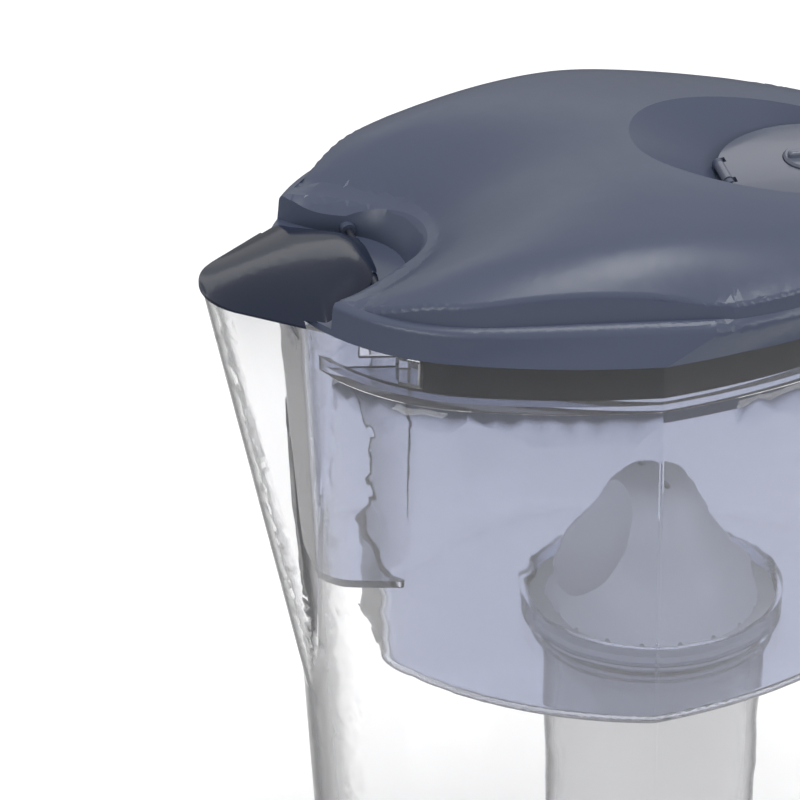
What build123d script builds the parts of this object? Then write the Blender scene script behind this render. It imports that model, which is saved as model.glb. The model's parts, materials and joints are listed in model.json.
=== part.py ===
from build123d import *
from math import cos, exp, log, radians, sin, sqrt
import os

# Water filter pitcher: a clear jug with a beak and a handle, a tinted funnel that hangs in it,
# a filter cartridge that stands in the funnel's well, and a domed lid with two flaps.
# Millimetres. The origin is the centre of the base under the cartridge, +Z is up, the beak
# points along -X and the handle along +X.

# Jug
RIM_Z = 246.5              # top edge of the clear wall
JUG_WALL = 2.2
JUG_FLOOR = 3.2
JUG_FRONT = 116.5          # rim: from the cartridge axis to the front, the beak left out
JUG_REAR = 93.5
JUG_HALF = 75.9            # rim: half width at the crease
FRONT_DRAFT = 17.0         # from the rim to the base the wall draws in by this much
REAR_DRAFT = 13.5
SIDE_DRAFT = 6.5
BASE_ROUND = 7.0
FOOT_RECESS = 1.2          # hollow under the base inside its foot ring
FOOT_WIDTH = 7.0
CREASE_X = -17.0           # the upright edge where the two faces of a side meet
CREASE_FRONT_DEG = 6.5     # how far each face turns away from the long axis there
CREASE_REAR_DEG = 6.0
NOSE_RADIUS = 66.0         # plan radius of the front of the body
TAIL_RADIUS = 60.0
BEAK_TIP = JUG_FRONT + 21.5
BEAK_RADIUS = 20.0
BEAK_FLANK_DEG = 39.0
BEAK_BACK = JUG_FRONT - 19.5   # where the beak's flanks end inside the body
BEAK_LEAN = 0.223          # the beak draws in by this much for each millimetre down
BEAK_DEPTH = 175.0
LEDGE_REACH = 1.5          # the funnel's flange sits on this ledge
LEDGE_HEIGHT = 3.5

# Handle
HANDLE_REACH = 48.0        # from the jug's rear to the back of the grip
HANDLE_TOP_Z = 228.0
HANDLE_LOW_Z = 62.0
HANDLE_WIDTH = 24.0
HANDLE_THICK = 13.0
HANDLE_BEND = 30.0
HANDLE_DROP = 6.0          # its back starts this much lower than its root
HANDLE_RAISE = 16.0
HANDLE_LEAN = 9.0
HANDLE_EDGE = 4.5
GRIP_THICK = 2.4
GRIP_WIDTH = 15.0
GRIP_PROUD = 0.7
GRIP_LENGTH = 96.0

# Funnel
FLANGE_LOW_Z = 230.1
FLANGE_HEIGHT = 4.7
FLANGE_TOP_Z = FLANGE_LOW_Z + FLANGE_HEIGHT
FUNNEL_WALL = 1.9
FUNNEL_GAP = 0.35          # between the flange and the jug wall
FUNNEL_BOTTOM_Z = 120.4
BOWL_SIDE_GAP = 4.7        # from the jug's rim inwards to the top of the bowl
BOWL_FRONT_GAP = 26.0
BOWL_REAR_GAP = 6.5
BOWL_SIDE_DRAFT = 1.9      # the bowl draws in by this much down to its floor
BOWL_FRONT_DRAFT = 3.5
BOWL_REAR_DRAFT = 7.0
BOWL_CORNER = 18.0
BOWL_FLAT = 12.6           # half width of the bowl's flat front
BOWL_CREASE_DEG = 13.0
BOWL_TAIL_CORNER = 44.0
BOWL_EDGE = 5.0            # rounding under the bowl
PORCH_LOW_Z = 153.1        # underside of the shallow chamber behind the beak
PORCH_TOP_Z = 245.5
PORCH_TOP_FRONT = JUG_FRONT - 4.1
PORCH_LOW_FRONT = JUG_FRONT - 10.5
PORCH_TOP_HALF = 26.6
PORCH_LOW_HALF = 19.6
PORCH_SPREAD = 6.0         # how much wider it is on each side where it meets the bowl
PORCH_CORNER = 13.0
PORCH_BACK = JUG_FRONT - 34.5
PORCH_WALL_BACK = JUG_FRONT - 19.5   # its raised wall ends here

# Cartridge well, joined under the funnel's floor
WELL_TOP_Z = 129.5
COLLAR_RADIUS = 39.4
COLLAR_WALL = 1.6
COLLAR_STEP_Z = 122.6
STEP_RADIUS = 36.6
STEP_Z = 115.0
WELL_RADIUS = 33.4
WELL_LOW_RADIUS = 31.4
WELL_BOTTOM_Z = 42.0
WELL_WALL = 1.5
WELL_OUTLET = 15.0

# Cartridge
CARTRIDGE_GAP = 0.5
SEAL_HEIGHT = 1.2
SEAL_WIDTH = 2.2
FLANGE_THICK = 2.0
CUP_WALL = 1.4
CUP_BOTTOM_Z = 47.0
CAP_SEAT_RADIUS = 31.4
CAP_RADIUS = 29.6
CAP_SIDE_Z = 136.5
CAP_TOP_Z = 168.0
CAP_TOP_RADIUS = 4.5
CAP_WALL = 1.6
CAP_TURN_DEG = 12.0
SCOOP_RADIUS = 32.0
SCOOP_REACH = 42.0
SCOOP_Z = 164.5
SCOOP_EDGE = 1.2
VENT_COUNT = 18
VENT_RADIUS = 0.9
SLOT_LENGTH = 4.0
SLOT_WIDTH = 2.2
SLOT_DEPTH = 5.5
SLOT_REACH = 7.0
MESH_THICK = 0.8
MESH_GAP = 0.3
PAD_THICK = 2.5
MEDIA_TOP_Z = 112.0
OUTLET_COUNT = 12
OUTLET_RADIUS = 1.6
OUTLET_REACH = 11.0
CUP_CHAMFER = 3.0
SIEVE_RIM = 2.5
SIEVE_HUB = 4.0
SIEVE_SPOKES = 8
SIEVE_SPOKE_WIDTH = 2.0

# Lid
LID_GAP = 0.25             # between the lid's rim and the jug's rim
LID_FRONT = JUG_FRONT + 1.5
LID_REAR = JUG_REAR + 2.5
LID_HALF = JUG_HALF + 1.1
LID_CREASE_TOP_X = 4.0     # the crease runs slantwise up the lid's band
BAND_TOP_Z = 258.3
BAND_ROUND = 3.6
BAND_DRAW = 1.0            # how far the band leans in over its height
DOME_INSET = 2.5
DOME_STEP = 2.4            # height of the dome's edge above the band
DOME_RISE = 22.5
DOME_CREST_X = -17.0
DOME_FRONT_POWER = 2.2
DOME_REAR_BEND = 0.25
DOME_SIDE_POWER = 2.8
DOME_SIDE_REACH = LID_HALF + 3.0
DOME_EDGE = 2.0
BAND_STEP = 0.4            # the band stays this much under the dome in the valley
VALLEY_DEPTH = 35.0        # soft dip that runs down to the spout flap
VALLEY_X = -105.0
VALLEY_LENGTH = 40.0
VALLEY_WIDTH = 28.0
VALLEY_BEND = 2.0          # how softly the dip levels out above the flap's shelf
LID_WALL = 2.2
LID_RIM_WALL = 2.6
SHELF_Z = 248.9            # floor of the notch that holds the spout flap
NOTCH_REAR = 77.0          # plan of the notch at its floor
NOTCH_MID = 90.0
NOTCH_MID_HALF = 20.6
NOTCH_NECK = 101.0
NOTCH_NECK_HALF = 28.6
NOTCH_FRONT = 109.0
NOTCH_FRONT_HALF = 37.0
NOTCH_FLARE = 0.8          # its walls lean out by this much up to the dome
NOTCH_REAR_FLARE = 5.0
POUR_FRONT = JUG_FRONT - 3.0   # the notch's floor stops here, so the beak is open above

# Inner frame of the lid, the dark band behind the clear wall
FRAME_LOW_Z = 235.1
FRAME_TOP_Z = 250.0
FRAME_WALL = 2.0
FRAME_GAP = 0.7
FRAME_FRONT = 84.0
CATCH_LENGTH = 6.0
CATCH_HEIGHT = 8.5
CATCH_DEPTH = 3.4

# Spout flap
FLAP_GAP = 0.4             # between the flap and the rims and floor under it
FLAP_OVERHANG = 0.9
FLAP_WIDE_X = 108.5
FLAP_REAR = 86.0
FLAP_NECK = 88.5
FLAP_NECK_HALF = 17.0
FLAP_SIDE_CORNER = 2.5
FLAP_REAR_CORNER = 5.0
FLAP_LIP = 0.7             # height of its thin edge above the rim
FLAP_RISE = 8.6
FLAP_CREST_X = -101.0
FLAP_FRONT_POWER = 2.3
FLAP_REAR_REACH = 16.5
FLAP_REAR_POWER = 4.0
FLAP_SIDE_POWER = 3.0
FLAP_HEEL = 0.8            # its rear edge is this much above the pin, so it can tip up
FLAP_WALL = 1.6
SPOUT_PIN_X = -89.5
SPOUT_PIN_Z = 251.0
SPOUT_PIN_RADIUS = 1.0
SPOUT_PIN_LENGTH = 13.5
SPOUT_LUG_RADIUS = 1.7     # lugs inside the flap that the pins are pressed into
SPOUT_LUG_HALF = 6.0
SPOUT_LUG_LENGTH = 5.0
SPOUT_BOSS_RADIUS = 2.2
SPOUT_BOSS_HALF = 18.6     # distance of the lid's bosses from the middle
SPOUT_BOSS_LENGTH = 4.5
PIN_CLEARANCE = 0.06
PIN_END_GAP = 0.4

# Fill opening, its flap and the dial on it
BASIN_X = 46.0
BASIN_LONG = 27.3
BASIN_WIDE = 24.8
BASIN_Z = 264.3
BASIN_TOP_Z = 288.3
BASIN_TOP_FRONT = -16.0
BASIN_TOP_REAR = 88.0
BASIN_TOP_WIDE = 42.0
HOLE_LONG = 22.0
HOLE_WIDE = 19.5
FILL_FLAP_GAP = 0.6
FILL_FLAP_THICK = 2.2
FILL_FLAP_LIFT = 0.9
FILL_FLAP_CROWN = 1.4
FILL_PIN_SETBACK = 1.3     # pin axis behind the flap's front edge
FILL_PIN_RADIUS = 0.9
KNUCKLE_RADIUS = 1.7
KNUCKLE_HALF = 5.0
EAR_LENGTH = 2.4
EAR_GAP = 0.3
DIAL_RADIUS = 8.5
DIAL_HEIGHT = 2.2
DIAL_GAP = 0.3
DIAL_GRIP_HEIGHT = 1.8
DIAL_GRIP_WIDTH = 3.0
DIAL_STEM = 2.2
CLIP_RADIUS = 4.2
CLIP_THICK = 1.2
DIAL_X = 47.5


def keep(node, shape):
    # Write one node as its own STEP file.
    export_step(shape, f"parts/{node}.step")


def share(z, low_z, high_z, low, high):
    # A size that changes evenly with height.
    return low + (high - low) * (z - low_z) / (high_z - low_z)


def arc_middle(centre, start, end):
    # The point of an arc halfway between two of its points.
    radius = (start - centre).length
    return centre + ((start + end) * 0.5 - centre).normalized() * radius


def quarter(end, radius, flat, half, lean_deg, crease_x):
    # One quarter of a plan outline, in distances from the axes: a corner arc round `corner`
    # runs on as a long arc to the crease. Returns the points that the two arcs need.
    corner = Vector(end - radius, -flat)
    crease = Vector(crease_x, -half)
    inward = Vector(-sin(radians(lean_deg)), cos(radians(lean_deg)))
    span = crease - corner
    long_radius = (radius ** 2 - span.length ** 2) / (2 * (span.dot(inward) + radius))
    centre = crease + inward * long_radius
    join = corner + (corner - centre).normalized() * radius
    tip = Vector(end, -flat)
    long_middle = arc_middle(centre, crease, join)
    corner_middle = arc_middle(corner, join, tip)
    return crease, long_middle, join, corner_middle, tip


def end_edges(points, at):
    # The end of an outline, from the join on one side to the join on the other.
    crease, long_middle, join, corner_middle, tip = points
    if abs(tip.Y) < 0.001:
        return [Edge.make_three_point_arc(at(join, 1), at(tip, 1), at(join, -1))]
    return [
        Edge.make_three_point_arc(at(join, 1), at(corner_middle, 1), at(tip, 1)),
        Edge.make_line(at(tip, 1), at(tip, -1)),
        Edge.make_three_point_arc(at(tip, -1), at(corner_middle, -1), at(join, -1)),
    ]


def plan_outline(z, front, rear, half, nose=NOSE_RADIUS, tail=TAIL_RADIUS, flat=0.0,
                 lean=CREASE_FRONT_DEG, rear_lean=CREASE_REAR_DEG, crease_x=CREASE_X):
    # The closed plan outline of the body at height z, with a crease in each side.
    ahead = quarter(front, nose, flat, half, lean, -crease_x)
    behind = quarter(rear, tail, 0.0, half, rear_lean, crease_x)
    at_front = lambda p, side: Vector(-p.X, side * p.Y, z)
    at_rear = lambda p, side: Vector(p.X, side * p.Y, z)
    edges = end_edges(ahead, at_front)
    edges.append(Edge.make_three_point_arc(*[at_front(p, -1) for p in (ahead[2], ahead[1], ahead[0])]))
    edges.append(Edge.make_three_point_arc(*[at_rear(p, -1) for p in behind[:3]]))
    edges += [edge.reversed() for edge in reversed(end_edges(behind, at_rear))]
    edges.append(Edge.make_three_point_arc(*[at_rear(p, 1) for p in (behind[2], behind[1], behind[0])]))
    edges.append(Edge.make_three_point_arc(*[at_front(p, 1) for p in ahead[:3]]))
    return Wire(edges)


def between(*wires):
    # A solid with straight walls through level outlines.
    return Solid.make_loft(list(wires), ruled=True)


def prism(wire, height):
    return Solid.extrude(Face(wire), Vector(0, 0, height))


def ellipse_wire(x, long, wide, z):
    return Wire.make_ellipse(long, wide, Plane((x, 0, z)))


def roof(height, x_low, x_high, y_half, drop=0.0, across=15, along=25):
    # A block whose top is the smooth surface z = height(x, y).
    rows = []
    for i in range(along):
        x = x_low + (x_high - x_low) * i / (along - 1)
        ys = [-y_half + 2 * y_half * j / (across - 1) for j in range(across)]
        rows.append([Vector(x, y, height(x, y) - drop) for y in ys])
    top = Face.make_surface_from_array_of_points(rows)
    return Solid.extrude(top, Vector(0, 0, -120))


# Jug

def jug_outline(z, inset=0.0):
    depth = 1 - z / RIM_Z
    front = JUG_FRONT - FRONT_DRAFT * depth - inset
    rear = JUG_REAR - REAR_DRAFT * depth - inset
    half = JUG_HALF - SIDE_DRAFT * depth - inset
    return plan_outline(z, front, rear, half, NOSE_RADIUS - inset, TAIL_RADIUS - inset)


def beak_flank(x, inset=0.0):
    # Half width of the beak at a distance x ahead of the axis, behind its rounded tip.
    lean = radians(BEAK_FLANK_DEG)
    radius = BEAK_RADIUS - inset
    ahead = BEAK_TIP - BEAK_RADIUS + radius * sin(lean)
    return radius * cos(lean) + (ahead - x) * sin(lean) / cos(lean)


def beak_solid(inset=0.0, top_z=RIM_Z, depth=BEAK_DEPTH):
    # A rounded wedge in plan, drawn down and inwards.
    lean = radians(BEAK_FLANK_DEG)
    radius = BEAK_RADIUS - inset
    centre_x = BEAK_TIP - BEAK_RADIUS
    shift = (RIM_Z - top_z) * BEAK_LEAN
    touch = Vector(-centre_x - radius * sin(lean), radius * cos(lean), top_z)
    tip = Vector(-centre_x - radius, 0, top_z)
    back = Vector(-BEAK_BACK, beak_flank(BEAK_BACK, inset), top_z)
    mirrored = lambda p: Vector(p.X, -p.Y, p.Z)
    edges = [
        Edge.make_three_point_arc(touch, tip, mirrored(touch)),
        Edge.make_line(mirrored(touch), mirrored(back)),
        Edge.make_line(mirrored(back), back),
        Edge.make_line(back, touch),
    ]
    face = Pos(shift, 0, 0) * Face(Wire(edges))
    return Solid.extrude(face, Vector(BEAK_LEAN * depth, 0, -depth))


def handle_outline():
    # Side view of the handle's outside, in X and Z.
    back_x = JUG_REAR + HANDLE_REACH
    root_x = JUG_REAR - REAR_DRAFT - HANDLE_THICK
    corners = Polyline((root_x, HANDLE_TOP_Z), (back_x, HANDLE_TOP_Z - HANDLE_DROP),
                       (back_x - HANDLE_LEAN, HANDLE_LOW_Z + HANDLE_RAISE),
                       (root_x, HANDLE_LOW_Z), close=True)
    face = make_face(corners)
    return fillet(face.vertices().sort_by(Axis.X)[-2:], HANDLE_BEND)


def grip_solid():
    # The soft inlay in the back of the handle.
    back_x = JUG_REAR + HANDLE_REACH
    top = Vector(back_x, 0, HANDLE_TOP_Z - HANDLE_DROP)
    low = Vector(back_x - HANDLE_LEAN, 0, HANDLE_LOW_Z + HANDLE_RAISE)
    run = (top - low).normalized()
    outward = Vector(run.Z, 0, -run.X)
    seat = Plane((top + low) * 0.5 - outward * (GRIP_THICK - GRIP_PROUD), x_dir=run, z_dir=outward)
    pad = extrude(seat * RectangleRounded(GRIP_LENGTH, GRIP_WIDTH, GRIP_WIDTH / 2 - 0.5), GRIP_THICK)
    return pad


def handle_bar():
    outside = handle_outline()
    inside = offset(outside, -HANDLE_THICK)
    bar = extrude(Plane.XZ * (outside - inside), HANDLE_WIDTH / 2, both=True)
    long_edges = [e for e in bar.edges() if abs(abs(e.center().Y) - HANDLE_WIDTH / 2) < 0.01]
    return fillet(long_edges, HANDLE_EDGE)


def build_jug():
    body = between(jug_outline(0), jug_outline(RIM_Z))
    body = body.fillet(BASE_ROUND, body.edges().group_by(Axis.Z)[0])
    hollow = between(jug_outline(JUG_FLOOR, JUG_WALL), jug_outline(RIM_Z, JUG_WALL))
    hollow = hollow.fillet(BASE_ROUND - JUG_WALL, hollow.edges().group_by(Axis.Z)[0])
    ledge_low = FLANGE_LOW_Z - LEDGE_HEIGHT
    ledge_seat = JUG_WALL / 2
    ledge = between(jug_outline(ledge_low, ledge_seat), jug_outline(FLANGE_LOW_Z, ledge_seat))
    reach = JUG_WALL + LEDGE_REACH
    # The ledge's underside slopes, so it needs no undercut in the mould.
    ledge -= between(jug_outline(ledge_low, JUG_WALL), jug_outline(FLANGE_LOW_Z, reach))
    beak_hollow = beak_solid(JUG_WALL)
    foot = prism(jug_outline(0, FOOT_WIDTH + BASE_ROUND), FOOT_RECESS)
    jug = body + handle_bar() + beak_solid()
    jug = jug - hollow + ledge
    jug = jug - beak_hollow - foot - grip_solid()
    return jug


# Funnel

def bowl_outline(z, inset=0.0):
    depth = (FLANGE_LOW_Z - z) / (FLANGE_LOW_Z - FUNNEL_BOTTOM_Z)
    front = JUG_FRONT - BOWL_FRONT_GAP - BOWL_FRONT_DRAFT * depth - inset
    rear = JUG_REAR - BOWL_REAR_GAP - BOWL_REAR_DRAFT * depth - inset
    half = JUG_HALF - BOWL_SIDE_GAP - BOWL_SIDE_DRAFT * depth - inset
    return plan_outline(z, front, rear, half, BOWL_CORNER - inset, BOWL_TAIL_CORNER - inset,
                        BOWL_FLAT, BOWL_CREASE_DEG)


def porch_outline(z, inset=0.0):
    front = share(z, PORCH_LOW_Z, PORCH_TOP_Z, PORCH_LOW_FRONT, PORCH_TOP_FRONT) - inset
    half = share(z, PORCH_LOW_Z, PORCH_TOP_Z, PORCH_LOW_HALF, PORCH_TOP_HALF) - inset
    wide = half + PORCH_SPREAD
    corners = Polyline((-PORCH_BACK, wide), (-front, half), (-front, -half), (-PORCH_BACK, -wide),
                       close=True)
    face = make_face(corners)
    face = fillet(face.vertices().sort_by(Axis.X)[:2], PORCH_CORNER - inset)
    return Pos(0, 0, z) * face.face().outer_wire()


def well_outside():
    low = WELL_BOTTOM_Z
    rows = [(0, low), (WELL_LOW_RADIUS, low), (WELL_RADIUS, STEP_Z), (STEP_RADIUS, STEP_Z),
            (STEP_RADIUS, FUNNEL_BOTTOM_Z), (COLLAR_RADIUS, FUNNEL_BOTTOM_Z + FUNNEL_WALL),
            (COLLAR_RADIUS, WELL_TOP_Z), (0, WELL_TOP_Z)]
    return revolve(make_face(Plane.XZ * Polyline(*rows, close=True)), Axis.Z)


def well_inside():
    collar = COLLAR_RADIUS - COLLAR_WALL
    step = STEP_RADIUS - WELL_WALL
    rows = [(0, WELL_BOTTOM_Z), (WELL_OUTLET, WELL_BOTTOM_Z), (WELL_OUTLET, WELL_BOTTOM_Z + WELL_WALL),
            (WELL_LOW_RADIUS - WELL_WALL, WELL_BOTTOM_Z + WELL_WALL),
            (WELL_RADIUS - WELL_WALL, STEP_Z + WELL_WALL), (step, STEP_Z + WELL_WALL),
            (step, COLLAR_STEP_Z), (collar, COLLAR_STEP_Z), (collar, WELL_TOP_Z), (0, WELL_TOP_Z)]
    return revolve(make_face(Plane.XZ * Polyline(*rows, close=True)), Axis.Z)


def build_funnel():
    bowl = between(bowl_outline(FUNNEL_BOTTOM_Z), bowl_outline(FLANGE_LOW_Z + FUNNEL_WALL))
    bowl = bowl.fillet(BOWL_EDGE, bowl.edges().group_by(Axis.Z)[0])
    floor_z = FUNNEL_BOTTOM_Z + FUNNEL_WALL
    inside = between(bowl_outline(floor_z, FUNNEL_WALL), bowl_outline(FLANGE_TOP_Z, FUNNEL_WALL))
    inside = inside.fillet(BOWL_EDGE - FUNNEL_WALL, inside.edges().group_by(Axis.Z)[0])
    porch = between(porch_outline(PORCH_LOW_Z), porch_outline(PORCH_TOP_Z))
    porch_floor = PORCH_LOW_Z + FUNNEL_WALL
    porch_inside = between(porch_outline(porch_floor, FUNNEL_WALL), porch_outline(PORCH_TOP_Z, FUNNEL_WALL))
    rim = JUG_WALL + FUNNEL_GAP
    flange = between(jug_outline(FLANGE_LOW_Z, rim), jug_outline(FLANGE_TOP_Z, rim))
    shelf_z = FLANGE_LOW_Z + FUNNEL_WALL
    flange -= between(jug_outline(shelf_z, rim + FUNNEL_WALL), jug_outline(FLANGE_TOP_Z, rim + FUNNEL_WALL))
    low_wall = Pos(0, 0, FLANGE_TOP_Z + 20) * Box(2 * PORCH_WALL_BACK, 200, 40)
    porch -= low_wall
    funnel = bowl + porch + flange
    funnel = funnel - inside - porch_inside
    funnel = funnel + well_outside() - well_inside()
    return funnel


# Cartridge

def cup_radius(z):
    # The cup follows the well's taper with a clearance.
    outside = share(z, WELL_BOTTOM_Z, STEP_Z, WELL_LOW_RADIUS, WELL_RADIUS)
    return outside - WELL_WALL - CARTRIDGE_GAP


def cup_inside(z):
    return cup_radius(z) - CUP_WALL


def ring(inner, outer, z, height):
    return Pos(0, 0, z) * extrude(Circle(outer) - Circle(inner), height)


def flange_z():
    return COLLAR_STEP_Z + SEAL_HEIGHT


def build_seal():
    outer = COLLAR_RADIUS - COLLAR_WALL - CARTRIDGE_GAP
    return ring(outer - SEAL_WIDTH, outer, COLLAR_STEP_Z, SEAL_HEIGHT)


def build_cup():
    low, top = CUP_BOTTOM_Z, flange_z() + FLANGE_THICK
    flange = COLLAR_RADIUS - COLLAR_WALL - CARTRIDGE_GAP
    floor = low + CUP_WALL
    neck = cup_inside(STEP_Z)
    rows = [(0, low), (cup_radius(low) - CUP_CHAMFER, low), (cup_radius(low), low + CUP_CHAMFER),
            (cup_radius(STEP_Z), STEP_Z), (cup_radius(STEP_Z), flange_z()), (flange, flange_z()),
            (flange, top), (neck, top), (neck, STEP_Z), (cup_inside(floor), floor), (0, floor)]
    cup = revolve(make_face(Plane.XZ * Polyline(*rows, close=True)), Axis.Z)
    hole = Pos(0, 0, low) * Cylinder(OUTLET_RADIUS, 4 * CUP_WALL)
    cup -= hole
    for i in range(OUTLET_COUNT):
        cup -= Rot(0, 0, 360 * i / OUTLET_COUNT) * Pos(OUTLET_REACH, 0, 0) * hole
    return cup


def disc(z, height):
    return Pos(0, 0, z) * extrude(Circle(cup_inside(z) - MESH_GAP), height)


def mesh_disc(z, height):
    # A moulded sieve: a rim, a hub and spokes with open sectors between them.
    plate = disc(z, height)
    outer = cup_inside(z) - MESH_GAP - SIEVE_RIM
    sector = Circle(outer) - Circle(SIEVE_HUB)
    for i in range(SIEVE_SPOKES // 2):
        sector -= Rot(0, 0, 360 * i / SIEVE_SPOKES) * Rectangle(3 * outer, SIEVE_SPOKE_WIDTH)
    return plate - Pos(0, 0, z) * extrude(sector, height)


def cap_body(shrink, base_z):
    # The cap before its hollow is cut: a domed cone with two opposite finger scoops.
    top = CAP_TOP_Z - shrink
    seat = CAP_SEAT_RADIUS - shrink
    side = CAP_RADIUS - shrink
    with_z = lambda r, z: (r, z)
    flank = Spline(with_z(side, CAP_SIDE_Z), with_z(17.5 - shrink, 157 - shrink / 2),
                   with_z(CAP_TOP_RADIUS, top), tangents=[(-0.25, 1), (-1, 0)])
    lines = Curve() + [Line((0, base_z), (seat, base_z)), Line((seat, base_z), (side, CAP_SIDE_Z)), flank,
                       Line((CAP_TOP_RADIUS, top), (0, top)), Line((0, top), (0, base_z))]
    body = revolve(make_face(Plane.XZ * lines), Axis.Z)
    for turn in (CAP_TURN_DEG, CAP_TURN_DEG + 180):
        ball = Pos(SCOOP_REACH, 0, SCOOP_Z) * Sphere(SCOOP_RADIUS + shrink)
        body -= Rot(0, 0, turn) * ball
    return body


def build_cap():
    base_z = flange_z() + FLANGE_THICK
    outside = cap_body(0.0, base_z)
    cap = outside - cap_body(CAP_WALL, base_z)
    for i in range(VENT_COUNT):
        turn = Rot(0, 0, 360 * (i + 0.5) / VENT_COUNT)
        cap -= turn * Pos(CAP_SEAT_RADIUS, 0, base_z) * Rot(0, 90, 0) * Cylinder(VENT_RADIUS, 4 * CAP_WALL)
    for side in (-1, 1):
        slot = extrude(SlotOverall(SLOT_LENGTH, SLOT_WIDTH), SLOT_DEPTH, both=True)
        turn = Rot(0, 0, CAP_TURN_DEG + 90)
        cap -= turn * Pos(side * SLOT_REACH, 0, CAP_TOP_Z) * slot
    return cap


# Lid

def lid_low_z():
    return RIM_Z + LID_GAP


def lid_outline(z, inset=0.0):
    low = lid_low_z()
    draw = share(z, low, BAND_TOP_Z, 0.0, BAND_DRAW) + inset
    crease_x = share(z, low, BAND_TOP_Z, CREASE_X, LID_CREASE_TOP_X)
    return plan_outline(z, LID_FRONT - draw, LID_REAR - draw, LID_HALF - draw, NOSE_RADIUS - inset,
                        TAIL_RADIUS - inset, crease_x=crease_x)


def dome_height(x, y):
    # Height of the lid's top: it rises to a crest ahead of the middle, with a soft valley
    # that runs down to the spout flap.
    if x < DOME_CREST_X:
        reach = LID_FRONT + DOME_CREST_X
        along = (DOME_CREST_X - x) / reach
        rise = 1 - along ** DOME_FRONT_POWER
    else:
        reach = LID_REAR - DOME_CREST_X
        along = (x - DOME_CREST_X) / (reach * DOME_REAR_BEND)
        full = sqrt(1 + 1 / DOME_REAR_BEND ** 2) - 1
        rise = 1 - (sqrt(1 + along ** 2) - 1) / full
    across = 1 - (abs(y) / DOME_SIDE_REACH) ** DOME_SIDE_POWER
    spread = ((x - VALLEY_X) / VALLEY_LENGTH) ** 2 + (y / VALLEY_WIDTH) ** 2
    height = BAND_TOP_Z + DOME_STEP + DOME_RISE * rise * across - VALLEY_DEPTH * exp(-spread)
    # The valley levels out softly just above the flap's shelf.
    return SHELF_Z + VALLEY_BEND * log(1 + exp((height - SHELF_Z) / VALLEY_BEND))


def lid_block(inset, drop):
    # The lid's bulk: a band with a dome on it. Taken twice, for its outside and its hollow.
    low = lid_low_z()
    top = BAND_TOP_Z - drop
    lines = lambda step: roof(dome_height, -LID_FRONT - 1, LID_REAR + 1, DOME_SIDE_REACH, drop + step)
    dome = prism(Pos(0, 0, low - BAND_TOP_Z) * lid_outline(BAND_TOP_Z, DOME_INSET + drop), 3 * DOME_RISE)
    dome &= lines(0.0)
    band = between(lid_outline(low, inset), lid_outline(top, inset))
    if not inset:
        dome = dome.fillet(DOME_EDGE, dome.faces().sort_by(Axis.Z)[-1].edges())
        band = band.fillet(BAND_ROUND, band.edges().group_by(Axis.Z)[-1])
    # Beside the flap the band dips with the valley.
    return (band & lines(BAND_STEP)) + dome


def notch_wire(z, grow):
    flare = share(z, SHELF_Z, BAND_TOP_Z, 0.0, 1.0)
    wide = grow + NOTCH_FLARE * flare
    rear = NOTCH_REAR - grow - NOTCH_REAR_FLARE * flare
    front_x = -(LID_FRONT + 12)
    at = lambda x, y: Vector(-x, y, z)
    points = [(NOTCH_FRONT, NOTCH_FRONT_HALF + wide), (NOTCH_NECK, NOTCH_NECK_HALF + wide),
              (NOTCH_MID, NOTCH_MID_HALF + wide)]
    near = [at(x, -y) for x, y in points]
    far = [at(x, y) for x, y in points]
    edges = [
        Edge.make_line(Vector(front_x, near[0].Y, z), near[0]),
        Edge.make_three_point_arc(*near),
        Edge.make_three_point_arc(near[2], at(rear, 0), far[2]),
        Edge.make_three_point_arc(far[2], far[1], far[0]),
        Edge.make_line(far[0], Vector(front_x, far[0].Y, z)),
        Edge.make_line(Vector(front_x, far[0].Y, z), Vector(front_x, near[0].Y, z)),
    ]
    return Wire(edges)


def notch_solid(grow, floor_z):
    upper = BAND_TOP_Z + DOME_RISE
    return between(notch_wire(floor_z, grow), notch_wire(upper, grow))


def basin_solid(grow):
    top_x = (BASIN_TOP_FRONT + BASIN_TOP_REAR) / 2
    top_long = (BASIN_TOP_REAR - BASIN_TOP_FRONT) / 2
    low = ellipse_wire(BASIN_X, BASIN_LONG + grow, BASIN_WIDE + grow, BASIN_Z - grow)
    high = ellipse_wire(top_x, top_long + grow, BASIN_TOP_WIDE + grow, BASIN_TOP_Z - grow)
    return between(low, high)


def fill_pin_at():
    front = BASIN_X - BASIN_LONG + FILL_FLAP_GAP
    return front + FILL_PIN_SETBACK, BASIN_Z + FILL_FLAP_LIFT + FILL_FLAP_THICK / 2


def rod(x, z, radius, half, y=0.0):
    # A bar along Y.
    return Pos(x, y, z) * Rot(90, 0, 0) * Cylinder(radius, 2 * half)


def ear_y():
    return KNUCKLE_HALF + EAR_GAP + EAR_LENGTH / 2


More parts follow.
